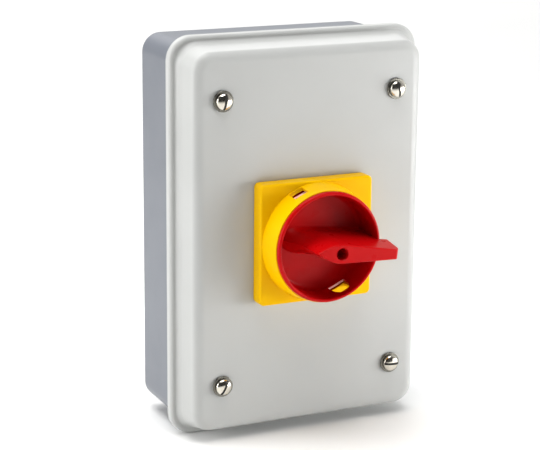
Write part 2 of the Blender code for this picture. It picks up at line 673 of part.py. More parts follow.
# ---- switch stack ----
def build_rail(metal):
    """A top-hat mounting rail along X."""
    half, inner = RAIL_W / 2, RAIL_W / 2 - RAIL_FLANGE
    low, high = RAIL_BACK, RAIL_BACK + RAIL_H
    section = [(-half, high), (-inner, high), (-inner, low + RAIL_T), (inner, low + RAIL_T)]
    section += [(inner, high), (half, high), (half, high - RAIL_T)]
    section += [(inner + RAIL_T, high - RAIL_T), (inner + RAIL_T, low), (-inner - RAIL_T, low)]
    section += [(-inner - RAIL_T, high - RAIL_T), (-half, high - RAIL_T)]
    rings = [[Vector((x, -d, z)) for z, d in section] for x in (-RAIL_LENGTH / 2, RAIL_LENGTH / 2)]
    rail = make("din_rail", loft(rings), metal, smooth=False)
    for x in (-RAIL_SCREW_X, RAIL_SCREW_X):
        cut(rail, turned([(SMALL_HOLE_R, low - 0.002), (SMALL_HOLE_R, low + RAIL_T + 0.002)],
                         10, (x, 0)))
    return rail


def build_switch_base(plastic):
    """The stack's back plate, with two hooks that clip round the rail's flanges."""
    front = BASE_BACK + BASE_T
    base = make("switch_base", prism(rect(DECK_W, 0.050), BASE_BACK, front), plastic, smooth=False)
    rail_edge = RAIL_W / 2 + GAP
    flange_under = RAIL_BACK + RAIL_H - RAIL_T - GAP
    for sign in (1, -1):
        for x in (-0.014, 0.014):
            z0, z1 = sorted((sign * rail_edge, sign * (rail_edge + 0.002)))
            arm = box_outline(x - 0.004, x + 0.004, z0, z1)
            join(base, prism(arm, flange_under - 0.0015, BASE_BACK + 0.001))
            z0, z1 = sorted((sign * (rail_edge - 0.0018), sign * (rail_edge + 0.001)))
            lip = box_outline(x - 0.004, x + 0.004, z0, z1)
            join(base, prism(lip, flange_under - 0.0015, flange_under))
    cut(base, turned([(SHAFT_HOLE_R, front - 0.0024), (SHAFT_HOLE_R, front + 0.002)], 16))
    for sign in (1, -1):
        hole_r = TIE_SCREW_R + SHANK_CLEARANCE
        cut(base, turned([(hole_r, front - 0.003), (hole_r, front + 0.002)], 10, (sign * TIE_X, 0)))
    return base


def pole_x(number):
    return (number - 1 - (POLES - 1) / 2) * POLE_PITCH


def strip_outline(x, side, extra):
    """A fixed contact seen from the front: out at its terminal, in at the rotor's edge."""
    half = CONTACT_W / 2 + extra
    inner = BORE_R - 0.0001 if not extra else ROTOR_R - 0.002
    knee = BORE_R + 0.0050 + extra
    outer = DECK_H / 2 - 0.0008 if not extra else DECK_H / 2 + 0.001
    if abs(x) < 1e-6:
        points = [(-half, inner), (half, inner), (half, outer), (-half, outer)]
    else:
        s = math.copysign(1, x)
        points = [(-s * half, inner), (x + s * half, inner), (x + s * half, outer)]
        points += [(x - s * half, outer), (x - s * half, knee), (-s * half, knee)]
    return [(px, side * pz) for px, pz in points]


def build_deck(number, plastic):
    """One pole's housing: a round bore, two terminal pockets and notches to reach poles behind."""
    back = DECKS_BACK + (number - 1) * DECK_PITCH
    front = back + DECK_T
    outline = rounded_rect(DECK_W, DECK_H, 0.0015, 3)
    deck = make(f"contact_deck_{number}", prism(outline, back, front), plastic, smooth=False)
    cut(deck, prism(circle(BORE_R, 32), back - 0.001, front + 0.001))
    hole_r = TIE_SCREW_R + SHANK_CLEARANCE
    for sign in (1, -1):
        cut(deck, turned([(hole_r, back - 0.001), (hole_r, front + 0.001)], 10, (sign * TIE_X, 0)))
        pocket = strip_outline(pole_x(number), sign, SLIDE_CLEARANCE)
        cut(deck, prism(pocket, back + CONTACT_LIFT, front + 0.001))
        for behind in range(1, number):
            x = pole_x(behind)
            z0, z1 = sorted((sign * (TERMINAL_Z - NOTCH_W / 2), sign * (DECK_H / 2 + 0.001)))
            notch = box_outline(x - NOTCH_W / 2, x + NOTCH_W / 2, z0, z1)
            cut(deck, prism(notch, back - 0.001, front + 0.001))
        hole = (pole_x(number), sign * TERMINAL_Z)
        screw_hole = TERMINAL_SCREW_R + SHANK_CLEARANCE
        cut(deck, turned([(screw_hole, back + 0.001), (screw_hole, front + 0.001)], 10, hole))
    return deck


def build_terminals(number, brass, steel):
    back = DECKS_BACK + (number - 1) * DECK_PITCH + CONTACT_LIFT + GAP
    for side, label in ((1, "line"), (-1, "load")):
        x = pole_x(number)
        outline = strip_outline(x, side, 0.0)
        strip = make(f"{label}_terminal_{number}", prism(outline, back, back + CONTACT_T), brass, False)
        place = (x, side * TERMINAL_Z)
        hole_r = TERMINAL_SCREW_R + SHANK_CLEARANCE
        cut(strip, turned([(hole_r, back - 0.001), (hole_r, back + CONTACT_T + 0.001)], 10, place))
        build_screw(f"{label}_screw_{number}", steel, place, back + CONTACT_T + GAP, TERMINAL_SCREW_R,
                    0.0052, TERMINAL_HEAD_R, TERMINAL_HEAD_H, 20.0 * number, 10)


def build_latch_housing(plastic):
    """Holds the star wheel, and a channel above and below it for a plunger and its spring."""
    front = LATCH_BACK + LATCH_T
    floor = LATCH_BACK + LATCH_FLOOR
    outline = rounded_rect(DECK_W, LATCH_H, 0.002, 3)
    housing = make("latch_housing", prism(outline, LATCH_BACK, front), plastic, smooth=False)
    star_bore = STAR_R + STAR_RISE + 0.0010
    cut(housing, turned([(star_bore, floor), (star_bore, front + 0.001)], 32))
    channel = rect(PLUNGER_W + 2 * SLIDE_CLEARANCE, LATCH_H - 0.0036)
    cut(housing, prism(channel, floor, front + 0.001))
    cut(housing, turned([(SHAFT_HOLE_R, LATCH_BACK - 0.001), (SHAFT_HOLE_R, front)], 16))
    for sign in (1, -1):
        hole_r = TIE_SCREW_R + SHANK_CLEARANCE
        hole = (sign * TIE_X, 0)
        cut(housing, turned([(hole_r, LATCH_BACK - 0.001), (hole_r, front + 0.001)], 10, hole))
    return housing


def build_latch_cap(plastic):
    front = LATCH_CAP_BACK + LATCH_CAP_T
    outline = rounded_rect(DECK_W, LATCH_H, 0.002, 3)
    cap = make("latch_cap", prism(outline, LATCH_CAP_BACK, front), plastic, smooth=False)
    cut(cap, turned([(SHAFT_HOLE_R, LATCH_CAP_BACK - 0.001), (SHAFT_HOLE_R, front + 0.001)], 16))
    for sign in (1, -1):
        hole_r = TIE_SCREW_R + SHANK_CLEARANCE
        hole = (sign * TIE_X, 0)
        cut(cap, turned([(hole_r, LATCH_CAP_BACK - 0.001), (hole_r, front + 0.001)], 10, hole))
    return cap


def plunger_start():
    return STAR_R + STAR_RISE + 0.0004


def build_plunger(name, side, plastic):
    """A block with a round nose toward the star wheel."""
    start = plunger_start()
    half = PLUNGER_W / 2
    nose = [(half * math.cos(a), start + 0.0012 * (1 - math.sin(a)))
            for a in (math.pi * i / 6 for i in range(7))]
    outline = nose + [(-half, start + PLUNGER_L), (half, start + PLUNGER_L)]
    outline = [(x, side * z) for x, z in outline]
    back = LATCH_BACK + LATCH_FLOOR + 0.0004
    front = LATCH_BACK + LATCH_T - 0.0004
    plunger = make(name, prism(outline, back, front), plastic)
    return set_origin(plunger, (0.0, -(back + front) / 2, side * start))


def build_spring(name, side, metal):
    """A short compression spring between a plunger and the end of its channel."""
    start = plunger_start() + PLUNGER_L + GAP
    end = LATCH_H / 2 - 0.0018 - GAP
    length = end - start - 2 * SPRING_WIRE_R
    middle = LATCH_BACK + (LATCH_FLOOR + LATCH_T) / 2
    steps = 9 * SPRING_TURNS
    rings = []
    for i in range(steps + 1):
        turn = 2 * math.pi * SPRING_TURNS * i / steps
        out = Vector((math.cos(turn), math.sin(turn), 0.0))
        centre = SPRING_R * out
        centre.z = length * i / steps
        ring = []
        for j in range(5):
            a = 2 * math.pi * j / 5
            ring.append(centre + SPRING_WIRE_R * (math.cos(a) * out + Vector((0, 0, math.sin(a)))))
        rings.append(ring)
    solid = loft(rings)
    turn = Matrix.Identity(4) if side > 0 else Matrix.Rotation(math.pi, 4, "X")
    place = (0.0, -middle, side * (start + SPRING_WIRE_R))
    return make(name, moved(solid, place, turn), metal)


def build_all():
    for existing in list(bpy.data.objects):
        bpy.data.objects.remove(existing)

    grey_box = material("grey_moulding", (150, 154, 158), 0.35)
    grey_cover = material("light_grey_moulding", (206, 207, 206), 0.32)
    yellow = material("yellow_moulding", (250, 199, 10), 0.35)
    red = material("red_moulding", (190, 20, 24), 0.3)
    rubber = material("black_rubber", (28, 28, 30), 0.7)
    nickel = material("nickel_plated_steel", (190, 188, 182), 0.25, 1.0)
    zinc = material("zinc_plated_steel", (178, 182, 188), 0.4, 1.0)
    brass = material("brass", (196, 160, 86), 0.3, 1.0)
    copper = material("silvered_copper", (206, 180, 160), 0.3, 1.0)
    dark = material("dark_thermoset", (52, 54, 58), 0.5)
    white = material("white_nylon", (226, 226, 220), 0.5)
    spring_steel = material("spring_steel", (150, 152, 156), 0.3, 1.0)

    build_base_box(grey_box)
    for sign, label in ((-1, "left"), (1, "right")):
        build_entry_plug("entry_plug_" + label, sign, dark)
    build_rail(zinc)
    for sign, label in ((-1, "left"), (1, "right")):
        head_r, head_h, reach = RAIL_SCREW
        build_screw("rail_screw_" + label, zinc, (sign * RAIL_SCREW_X, 0.0),
                    RAIL_BACK + RAIL_T + GAP, SMALL_SCREW_R, reach, head_r, head_h, 45.0, 10)

    build_switch_base(dark)
    for number in range(1, POLES + 1):
        build_deck(number, dark)
        build_terminals(number, brass, zinc)
        build_rotor(number, white, copper)
    build_latch_housing(dark)
    build_latch_cap(dark)
    tie_seat = LATCH_CAP_BACK + LATCH_CAP_T + GAP
    for sign, label in ((-1, "left"), (1, "right")):
        head_r, head_h, engage = TIE_SCREW
        reach = tie_seat - BASE_BACK - BASE_T + engage
        build_screw("tie_screw_" + label, zinc, (sign * TIE_X, 0.0), tie_seat, TIE_SCREW_R, reach,
                    head_r, head_h, 30.0, 10)
    build_drive_shaft(zinc)
    build_star_wheel(white)
    for side, label in ((1, "upper"), (-1, "lower")):
        build_plunger("latch_plunger_" + label, side, white)
        build_spring("latch_spring_" + label, side, spring_steel)

    earth_back = BOX_BACK + EARTH_PAD + GAP
    earth_bar = make("earth_bar", prism(rect(*EARTH_BAR[:2], (0, EARTH_Z)), earth_back,
                                        earth_back + EARTH_BAR[2]), brass, smooth=False)
    for sign, label in ((-1, "left"), (1, "right")):
        place = (sign * EARTH_PITCH / 2, EARTH_Z)
        cut(earth_bar, turned([(SMALL_HOLE_R, earth_back - 0.001), (SMALL_HOLE_R, 0.020)],
                              10, place))
        head_r, head_h, reach = EARTH_SCREW
        build_screw("earth_screw_" + label, zinc, place, earth_back + EARTH_BAR[2] + GAP,
                    SMALL_SCREW_R, reach, head_r, head_h, 60.0, 10)

    build_cover(grey_cover)
    build_cover_gasket(rubber)
    build_cover_fixings(nickel)
    build_front_plate(yellow)
    build_plate_gasket(rubber)
    for sign, label in ((1, "right"), (-1, "left")):
        place = (sign * PLATE_SCREW, -sign * PLATE_SCREW)
        reach = PLATE_FACE - PLATE_SCREW_COVER - 0.0004 - COVER_UNDER + GAP
        screw = build_screw("plate_screw_" + label, zinc, (0.0, 0.0), 0.0, PLATE_SCREW_R, reach,
                            PLATE_SCREW_HEAD_R, PLATE_SCREW_HEAD_H, 45.0, 10)
        screw.data.transform(Matrix.Rotation(math.pi, 4, "Z"))
        head_at = Vector((place[0], -(COVER_UNDER - GAP), place[1]))
        screw.data.transform(Matrix.Translation(head_at))
    seal = washer_solid(HUB_R + 0.0004, HUB_R + 0.0029, PLATE_BACK, PLATE_BACK + 0.0020)
    make("hub_seal", seal, rubber)

    build_handle(red)
    build_screw("handle_screw", zinc, (0.0, 0.0), SCREW_SEAT + GAP, HANDLE_SCREW_R,
                SCREW_SEAT + GAP - SHAFT_END + SHAFT_SCREW_DEPTH - 0.0005, HANDLE_SCREW_HEAD_R,
                HANDLE_SCREW_HEAD_H, 25.0, 10)
    set_axis = (0.0, -CUP_FLOOR_FACE, 0.0)
    for name in ("handle", "handle_screw", "drive_shaft", "star_wheel"):
        set_origin(bpy.data.objects[name], set_axis)


build_all()
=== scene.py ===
"""Looks of the enclosed rotary isolator switch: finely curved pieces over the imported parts.

Metres, +Z up. The box's back lies on y = 0 and the handle faces -Y. "Depth" is the distance in
front of that back, so a point at depth d has y = -d. Outlines are drawn as x and z.
"""
import json
import math

import bmesh
import bpy
import numpy as np
from mathutils import Matrix, Vector


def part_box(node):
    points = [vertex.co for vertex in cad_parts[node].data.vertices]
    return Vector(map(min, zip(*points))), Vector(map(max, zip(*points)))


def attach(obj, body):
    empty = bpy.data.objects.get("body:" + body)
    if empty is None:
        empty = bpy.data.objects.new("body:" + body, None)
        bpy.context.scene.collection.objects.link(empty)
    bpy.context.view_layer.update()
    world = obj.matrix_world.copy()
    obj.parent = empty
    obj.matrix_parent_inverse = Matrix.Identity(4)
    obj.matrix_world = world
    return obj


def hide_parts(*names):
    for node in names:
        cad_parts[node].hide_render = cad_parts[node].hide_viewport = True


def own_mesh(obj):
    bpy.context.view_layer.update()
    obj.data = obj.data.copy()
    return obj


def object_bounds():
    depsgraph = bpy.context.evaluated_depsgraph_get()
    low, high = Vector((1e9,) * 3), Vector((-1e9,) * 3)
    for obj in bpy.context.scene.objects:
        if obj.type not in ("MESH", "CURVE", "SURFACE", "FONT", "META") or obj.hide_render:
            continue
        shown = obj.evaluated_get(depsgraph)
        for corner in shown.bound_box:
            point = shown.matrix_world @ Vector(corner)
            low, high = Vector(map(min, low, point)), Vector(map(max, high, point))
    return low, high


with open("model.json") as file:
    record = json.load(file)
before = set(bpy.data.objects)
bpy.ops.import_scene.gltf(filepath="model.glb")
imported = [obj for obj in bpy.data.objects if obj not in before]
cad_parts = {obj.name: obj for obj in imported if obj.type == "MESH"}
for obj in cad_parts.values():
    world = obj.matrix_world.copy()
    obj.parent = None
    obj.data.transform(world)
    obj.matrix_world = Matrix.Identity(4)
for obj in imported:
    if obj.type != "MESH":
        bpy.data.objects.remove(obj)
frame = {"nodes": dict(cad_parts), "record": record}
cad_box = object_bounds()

MM = 0.001
PI = math.pi
NODES = frame["nodes"]


# ---- sizes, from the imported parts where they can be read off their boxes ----
def span(node):
    """A node's size along x and z, and its rear and front depths."""
    low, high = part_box(node)
    return high.x - low.x, high.z - low.z, -high.y, -low.y


COVER_W, COVER_H, COVER_BACK, COVER_FACE = span("cover")
BOX_W, BOX_H, BOX_BACK, _ = span("base_box")
PLATE_W, PLATE_H, PLATE_BACK, COLLAR_FRONT = span("front_plate")
_, _, HUB_BACK, BAR_FRONT = span("handle")
RIM_BACK = COVER_FACE - 21.6 * MM       # rear edge of the cover's rim
RIM_H = 5.0 * MM                        # the rim's depth
RIM_W = 4.2 * MM                        # from the rim's outside to the raised part's foot
RAISE_H = COVER_FACE - RIM_BACK - RIM_H
COVER_T = 2.0 * MM
BOX_DEPTH = RIM_BACK + 1.6 * MM         # the box's front edge, inside the rim
POST_TOP = BOX_DEPTH + 1.4 * MM
POST_R = 4.5 * MM                       # the box's posts, and the cover's sleeves above them
SCREW_HOLE_R = 2.35 * MM
SCREWS = {"tl": 81.0, "tr": 100.0, "bl": 63.0, "br": -3.0}   # slot's turn in degrees
PLATE_FACE = PLATE_BACK + 7.9 * MM
PLATE_FLOOR = PLATE_BACK + 3.7 * MM     # the bottom of the collar's bore
COLLAR_BASE_R = PLATE_W / 2 - 1.0 * MM
COLLAR_TIP_R = COLLAR_BASE_R - 1.3 * MM
COLLAR_BORE_R = COLLAR_TIP_R - 1.0 * MM
LOCK_ANGLE = 115.2                      # the collar's upper padlock slot, in degrees
LOCK_SLOT_W = 7.5 * MM
LOCK_SLOT_BACK = PLATE_FACE + 0.7 * MM
LOCK_SLOT_FRONT = PLATE_FACE + 7.5 * MM
CUP_GAP = 0.4 * MM                      # between the handle's cup and the collar
CUP_RIM_R = COLLAR_TIP_R - CUP_GAP
CUP_WALL_R = COLLAR_BORE_R - CUP_GAP
CUP_BORE_R = CUP_WALL_R - 1.0 * MM
CUP_DRAFT = 0.3 * MM                    # how much narrower the cup is at its back
CUP_MIDDLE_R = (CUP_WALL_R + CUP_BORE_R) / 2 - CUP_DRAFT
CUP_RIM_BACK = COLLAR_FRONT + CUP_GAP
CUP_RIM_FRONT = CUP_RIM_BACK + 1.9 * MM
CUP_BACK = PLATE_FLOOR + 0.6 * MM
CUP_FLOOR = CUP_BACK + 2.2 * MM
WINDOW_ANGLE = LOCK_ANGLE - 1.0         # the cup's windows lag the slots by the handle's play
WINDOW_BACK = PLATE_FACE + 0.6 * MM     # the windows' straight edge
DROOP = math.radians(-6.2)              # the bar's turn from level


# ---- surfaces worked out on grids of two parameters ----
def quarter(count):
    """Angles of an even quarter turn, both ends included."""
    return np.linspace(0, PI / 2, count)


def circles(radius, depth, count=96, centre=(0.0, 0.0)):
    """Rings about a line along Y: point (i, j) is radius[i] out at angle 2 pi j / count, and its
    depth is depth[i]."""
    turn = np.linspace(0, 2 * PI, count, endpoint=False)
    radius, depth = np.asarray(radius, float)[:, None], np.asarray(depth, float)[:, None]
    return np.stack([centre[0] + radius * np.cos(turn), -depth + 0 * turn,
                     centre[1] + radius * np.sin(turn)], -1)


def rounded(half_w, half_h, corner, depth, count=14):
    """Rings of rounded rectangles: each corner is a quarter circle about a point one radius in from
    both sides, count points long. The rows have their own half sizes, corner radii and depths."""
    turn = (np.arange(4)[:, None] * PI / 2 + quarter(count)).ravel()
    sx, sz = np.repeat([1, -1, -1, 1], count), np.repeat([1, 1, -1, -1], count)
    half_w, half_h, corner, depth = (np.asarray(v, float)[:, None]
                                     for v in np.broadcast_arrays(half_w, half_h, corner, depth))
    return np.stack([sx * (half_w - corner) + corner * np.cos(turn), -depth + 0 * turn,
                     sz * (half_h - corner) + corner * np.sin(turn)], -1)


def bend(start, end, count, turn_in):
    """Points of a quarter ellipse from one profile point to another, without the first. With
    turn_in it leaves along the second coordinate, and otherwise along the first."""
    a = quarter(count + 1)[1:]
    across, up = (1 - np.cos(a), np.sin(a)) if turn_in else (np.sin(a), 1 - np.cos(a))
    return np.stack([start[0] + (end[0] - start[0]) * across,
                     start[1] + (end[1] - start[1]) * up], -1)


def skin(grid, ring=False):
    """Points and faces of a closed skin over a grid of rings: quads from each ring to the next, and
    a flat face over each end, or with ring set, quads from the last ring back to the first."""
    rows, count = grid.shape[:2]
    at = np.arange(rows * count).reshape(rows, count)
    beside, above = np.roll(at, -1, 1), np.roll(at, -1, 0)
    quads = np.stack([at, beside, np.roll(beside, -1, 0), above], -1)
    faces = quads[:rows if ring else rows - 1].reshape(-1, 4).tolist()
    if not ring:
        faces += [at[0].tolist(), at[-1].tolist()]
    return grid.reshape(-1, 3), faces


def solid(name, *skins):
    """One object from closed skins, with doubles merged and every face turned outwards."""
    mesh = bpy.data.meshes.new(name)
    start, points, faces = 0, [], []
    for made, quads in skins:
        points.append(made)
        faces += [[start + i for i in face] for face in quads]
        start += len(made)
    mesh.from_pydata(np.concatenate(points).tolist(), [], faces)
    bm = bmesh.new()
    bm.from_mesh(mesh)
    bmesh.ops.remove_doubles(bm, verts=bm.verts, dist=1e-7)
    bmesh.ops.recalc_face_normals(bm, faces=bm.faces)
    bm.to_mesh(mesh)
    bm.free()
    made = bpy.data.objects.new(name, mesh)
    bpy.context.scene.collection.objects.link(made)
    return made


def carve(piece, operation, *skins):
    """Cuts skins out of a piece or joins them to it, one after another, and keeps the result."""
    for shape in skins:
        tool = solid("tool", shape)
        step = piece.modifiers.new("carve", "BOOLEAN")
        step.operation, step.solver, step.object = operation, "EXACT", tool
        graph = bpy.context.evaluated_depsgraph_get()
        result = bpy.data.meshes.new_from_object(piece.evaluated_get(graph))
        piece.modifiers.clear()
        spent = (piece.data, tool.data)
        piece.data = result
        bpy.data.objects.remove(tool)
        for mesh in spent:
            bpy.data.meshes.remove(mesh)
    piece.data.name = piece.name


def cut(piece, *skins):
    carve(piece, "DIFFERENCE", *skins)


def join(piece, *skins):
    carve(piece, "UNION", *skins)


def drill(radius, back, front, centre=(0.0, 0.0), count=32):
    """A straight round cutter along Y."""
    return skin(circles([radius, radius], [back, front], count, centre))


def block(outline, back, front):
    """A straight bar along Y over any outline of x and z points."""
    outline = np.asarray(outline, float)
    rows = np.array([back, front])[:, None] + 0 * outline[:, 0]
    flat = np.broadcast_to(outline, (2, *outline.shape))
    return skin(np.stack([flat[..., 0], -rows, flat[..., 1]], -1))


def turned(outline, angle, centre=(0.0, 0.0)):
    """An outline's points, each multiplied by a turn of angle radians and moved to a centre."""
    c, s = math.cos(angle), math.sin(angle)
    return np.asarray(outline) @ np.array([[c, s], [-s, c]]) + np.asarray(centre)


def oblong(width, height, centre=(0.0, 0.0)):
    """A rectangle's four corners: half of each side, with the signs of the four quarters."""
    return np.array([[1, 1], [-1, 1], [-1, -1], [1, -1]]) * [width / 2, height / 2] + centre


def put(piece, body, material, slot, *nodes, crease=34):
    """Gives a finished piece its shading, finish and body, and hides the CAD nodes it stands for.
    Its slot is not used.
    """
    piece.data.materials.clear()
    piece.data.materials.append(material)
    piece.data.shade_smooth()
    piece.data.set_sharp_from_angle(angle=math.radians(crease))
    weights = piece.modifiers.new("even shading", "WEIGHTED_NORMAL")
    weights.keep_sharp = True
    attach(piece, body)
    if nodes:
        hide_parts(*nodes)


# ---- materials ----
def linear(code):
    """A colour given as an sRGB hex code, turned linear."""
    value = np.array([int(code[i:i + 2], 16) for i in (0, 2, 4)]) / 255
    return (*np.where(value <= 0.04045, value / 12.92, ((value + 0.055) / 1.055) ** 2.4), 1.0)


def node(tree, kind, values=None, links=None, **settings):
    """Adds a shader node: settings are its own properties, values its sockets, links its inputs."""
    made = tree.nodes.new("ShaderNode" + kind)
    for name, value in settings.items():
        setattr(made, name, value)
    for name, value in (values or {}).items():
        made.inputs[name].default_value = value
    for name, source in (links or {}).items():
        tree.links.new(source, made.inputs[name])
    return made


def finish(name, tone, shade, *, drift, rough, patches, grain, relief, metallic=0.0, ior=None,
           specular=None, stretch=(1.0, 1.0, 1.0)):
    """A surface whose tone drifts between two colours over drift metres. Its roughness runs from
    rough to rough + patches, in patches. Its relief has a grain that many metres wide, stretched
    along an axis whose stretch is below 1, and stands relief metres high."""
    made = bpy.data.materials.new(name)
    made.use_nodes = True
    tree = made.node_tree
    shader = tree.nodes["Principled BSDF"]
    shader.inputs["Metallic"].default_value = metallic
    if ior:
        shader.inputs["IOR"].default_value = ior
    if specular is not None:
        shader.inputs["Specular IOR Level"].default_value = specular
    place = node(tree, "TexCoord").outputs["Object"]
    pulled = node(tree, "Mapping", {"Scale": stretch}, {"Vector": place}).outputs["Vector"]
    cloud = node(tree, "TexNoise", {"Scale": 1 / drift, "Detail": 3.0}, {"Vector": place})
    spread = node(tree, "MapRange", {"From Min": 0.35, "From Max": 0.65},
                  {"Value": cloud.outputs["Fac"]})
    tones = node(tree, "MixRGB", {"Color1": linear(tone), "Color2": linear(shade)},
                 {"Fac": spread.outputs["Result"]})
    tree.links.new(tones.outputs["Color"], shader.inputs["Base Color"])
    patch = node(tree, "TexNoise", {"Scale": 3.1 / drift, "Detail": 4.0}, {"Vector": place})
    gloss = node(tree, "MapRange", {"From Min": 0.3, "From Max": 0.7, "To Min": rough,
                                    "To Max": rough + patches}, {"Value": patch.outputs["Fac"]})
    tree.links.new(gloss.outputs["Result"], shader.inputs["Roughness"])
    fine = node(tree, "TexNoise", {"Scale": 1 / grain, "Detail": 2.0}, {"Vector": pulled})
    bump = node(tree, "Bump", {"Strength": 1.0, "Distance": relief},
                {"Height": fine.outputs["Fac"]})
    tree.links.new(bump.outputs["Normal"], shader.inputs["Normal"])
    return made


# Glass-filled polycarbonate, moulded in a spark-eroded tool: even light grey, a soft wide sheen.
LIGHT_GREY = finish("polycarbonate_light_grey", "b7b8b6", "b3b4b2", drift=60 * MM, rough=0.34,
                    patches=0.05, grain=0.55 * MM, relief=0.004 * MM, ior=1.52, specular=0.3)
# The same resin in a darker grey, from a smoother tool: it mirrors the studio a little more.
BOX_GREY = finish("polycarbonate_box_grey", "696d75", "666a72", drift=45 * MM, rough=0.30,
                  patches=0.06, grain=0.8 * MM, relief=0.0012 * MM, ior=1.52, specular=0.35)
# Polyamide in signal yellow, moulded: strong colour with a satin face.
YELLOW = finish("polyamide_yellow", "eebb00", "ebb500", drift=25 * MM, rough=0.30,
                patches=0.06, grain=0.4 * MM, relief=0.002 * MM, ior=1.53, specular=0.05)
# Polyamide in signal red, moulded and glossy from handling.
RED = finish("polyamide_red", "b9060a", "b30509", drift=18 * MM, rough=0.26,
             patches=0.07, grain=0.4 * MM, relief=0.002 * MM, ior=1.53, specular=0.09)
# The same polyamide painted pale along the windows' straight edges: a painted highlight where those
# edges catch the light.
PAINTED_HIGHLIGHT_RED = finish("painted_highlight_window_edge", "ffd2c8", "f7bdb2", drift=4 * MM, rough=0.42,
                    patches=0.10, grain=0.3 * MM, relief=0.004 * MM, ior=1.53, specular=0.3)
# Nickel plating over a turned head: bright, faintly warm, with a soft polish.
NICKEL = finish("nickel_plated_turned_steel", "d9d4c9", "cbc5b8", drift=3 * MM, rough=0.13,
                patches=0.08, grain=0.25 * MM, relief=0.004 * MM, metallic=1.0)
# The washers' nickel, barrel-plated and unpolished: darker, and duller on its flat faces.
WASHER_NICKEL = finish("barrel_plated_nickel", "7c7a72", "6e6c65", drift=3 * MM, rough=0.24,
                       patches=0.10, grain=0.25 * MM, relief=0.005 * MM, metallic=1.0)
# A dull brown-black fill for a screw slot: painted shade for the slot's dark hollow, and grease and
# dust packed into it.
SLOT_GREASE_AND_PAINTED_SHADE = finish("slot_grease_and_painted_shade", "15130f", "1e1a15", drift=1.5 * MM, rough=0.62,
               patches=0.15, grain=0.15 * MM, relief=0.01 * MM, ior=1.48)
# Zinc plating, barrel-plated and passivated: greyer and duller, with a blue cast.
ZINC = finish("zinc_plated_pressed_steel", "b9bec6", "a7acb4", drift=6 * MM, rough=0.30,
              patches=0.12, grain=0.3 * MM, relief=0.006 * MM, metallic=1.0)
# Brass, sawn and tumbled: warm yellow with a dull face.
BRASS = finish("tumbled_brass", "d8b066", "c79c4f", drift=5 * MM, rough=0.27,
               patches=0.10, grain=0.3 * MM, relief=0.006 * MM, metallic=1.0)
# Silver-plated copper, rolled: pale pinkish metal.
COPPER = finish("silvered_rolled_copper", "dcc4b4", "cfae9a", drift=5 * MM, rough=0.24,
                patches=0.10, grain=0.3 * MM, relief=0.005 * MM, metallic=1.0,
                stretch=(1.0, 1.0, 0.15))
# Spring steel wire, drawn and oiled.
SPRING = finish("drawn_spring_steel", "9a9c9f", "85878b", drift=2 * MM, rough=0.26,
                patches=0.08, grain=0.15 * MM, relief=0.003 * MM, metallic=1.0)
# Phenolic thermoset, compression moulded: near black with a mottled dull face.
THERMOSET = finish("compression_moulded_phenolic", "3a3c40", "2e3034", drift=12 * MM, rough=0.42,
                   patches=0.12, grain=0.5 * MM, relief=0.008 * MM, ior=1.55)
# Natural nylon, moulded: milky white, waxy.
NYLON = finish("moulded_natural_nylon", "e6e5dd", "dbdacf", drift=9 * MM, rough=0.38,
               patches=0.08, grain=0.4 * MM, relief=0.004 * MM, ior=1.53)
# Nitrile rubber, die cut: black and matt with a fine grain.
RUBBER = finish("die_cut_nitrile_rubber", "1d1d1f", "242427", drift=8 * MM, rough=0.68,
                patches=0.10, grain=0.35 * MM, relief=0.012 * MM, ior=1.52)

SLOT_FINISH = {
    "grey_moulding": BOX_GREY, "light_grey_moulding": LIGHT_GREY, "yellow_moulding": YELLOW,
    "red_moulding": RED, "black_rubber": RUBBER, "nickel_plated_steel": NICKEL,
    "zinc_plated_steel": ZINC, "brass": BRASS, "silvered_copper": COPPER,
    "dark_thermoset": THERMOSET, "white_nylon": NYLON, "spring_steel": SPRING,
}
for part in frame["record"]["subparts"]:
    worn = NODES[part["node"]].data.materials
    worn.clear()
    worn.append(SLOT_FINISH[part["material_slot"]])


# ---- camera, floor and light ----
def look(location, target, roll=0.0):
    """A frame at location whose -Z points at target, turned about that line by roll radians."""
    back = (Vector(location) - Vector(target)).normalized()
    right = Vector((0, 0, 1)).cross(back).normalized()
    up = back.cross(right)
    side = math.cos(roll) * right + math.sin(roll) * up
    top = math.cos(roll) * up - math.sin(roll) * right
    matrix = Matrix((side, top, back)).transposed().to_4x4()
    matrix.translation = Vector(location)
    return matrix


AZIMUTH, ELEVATION, ROLL = math.radians(25.15), math.radians(14.29), math.radians(0.49)
FOCAL_MM, SENSOR_MM = 121.3, 36.0
DISTANCE = 0.9011       # metres from TARGET
TARGET = Vector((-12.2, -45.0, 2.7)) * MM
TO_CAMERA = Vector((-math.sin(AZIMUTH) * math.cos(ELEVATION),
                    -math.cos(AZIMUTH) * math.cos(ELEVATION), math.sin(ELEVATION)))
lens = bpy.data.cameras.new("studio_camera")
lens.lens, lens.sensor_width = FOCAL_MM, SENSOR_MM
camera = bpy.data.objects.new("studio_camera", lens)
bpy.context.scene.collection.objects.link(camera)
camera.matrix_world = look(TARGET + DISTANCE * TO_CAMERA, TARGET, ROLL)
bpy.context.scene.camera = camera


def softbox(name, location, target, width, height, power):
    """A white rectangular light, centred at location and aimed at target."""
    data = bpy.data.lights.new(name, "AREA")
    data.shape, data.size, data.size_y = "RECTANGLE", width, height
    data.energy = power
    made = bpy.data.objects.new(name, data)
    bpy.context.scene.collection.objects.link(made)
    made.matrix_world = look(location, target)


HEART = (0.0, -0.05, 0.0)       # the middle of the object
softbox("top_softbox", (-0.15, -0.13, 1.05), HEART, 1.2, 0.7, power=13.5)
softbox("left_softbox", (-1.1, 0.10, 0.05), HEART, 0.7, 1.1, power=13.5)
softbox("key_softbox", (0.46, -0.36, -0.03), (0.0, -0.05, -0.02), 0.4, 0.2, power=2.9)
softbox("backdrop_softbox", (0.6, 1.9, 1.5), (0.7, 1.5, -0.1), 3.0, 1.6, power=34.0)
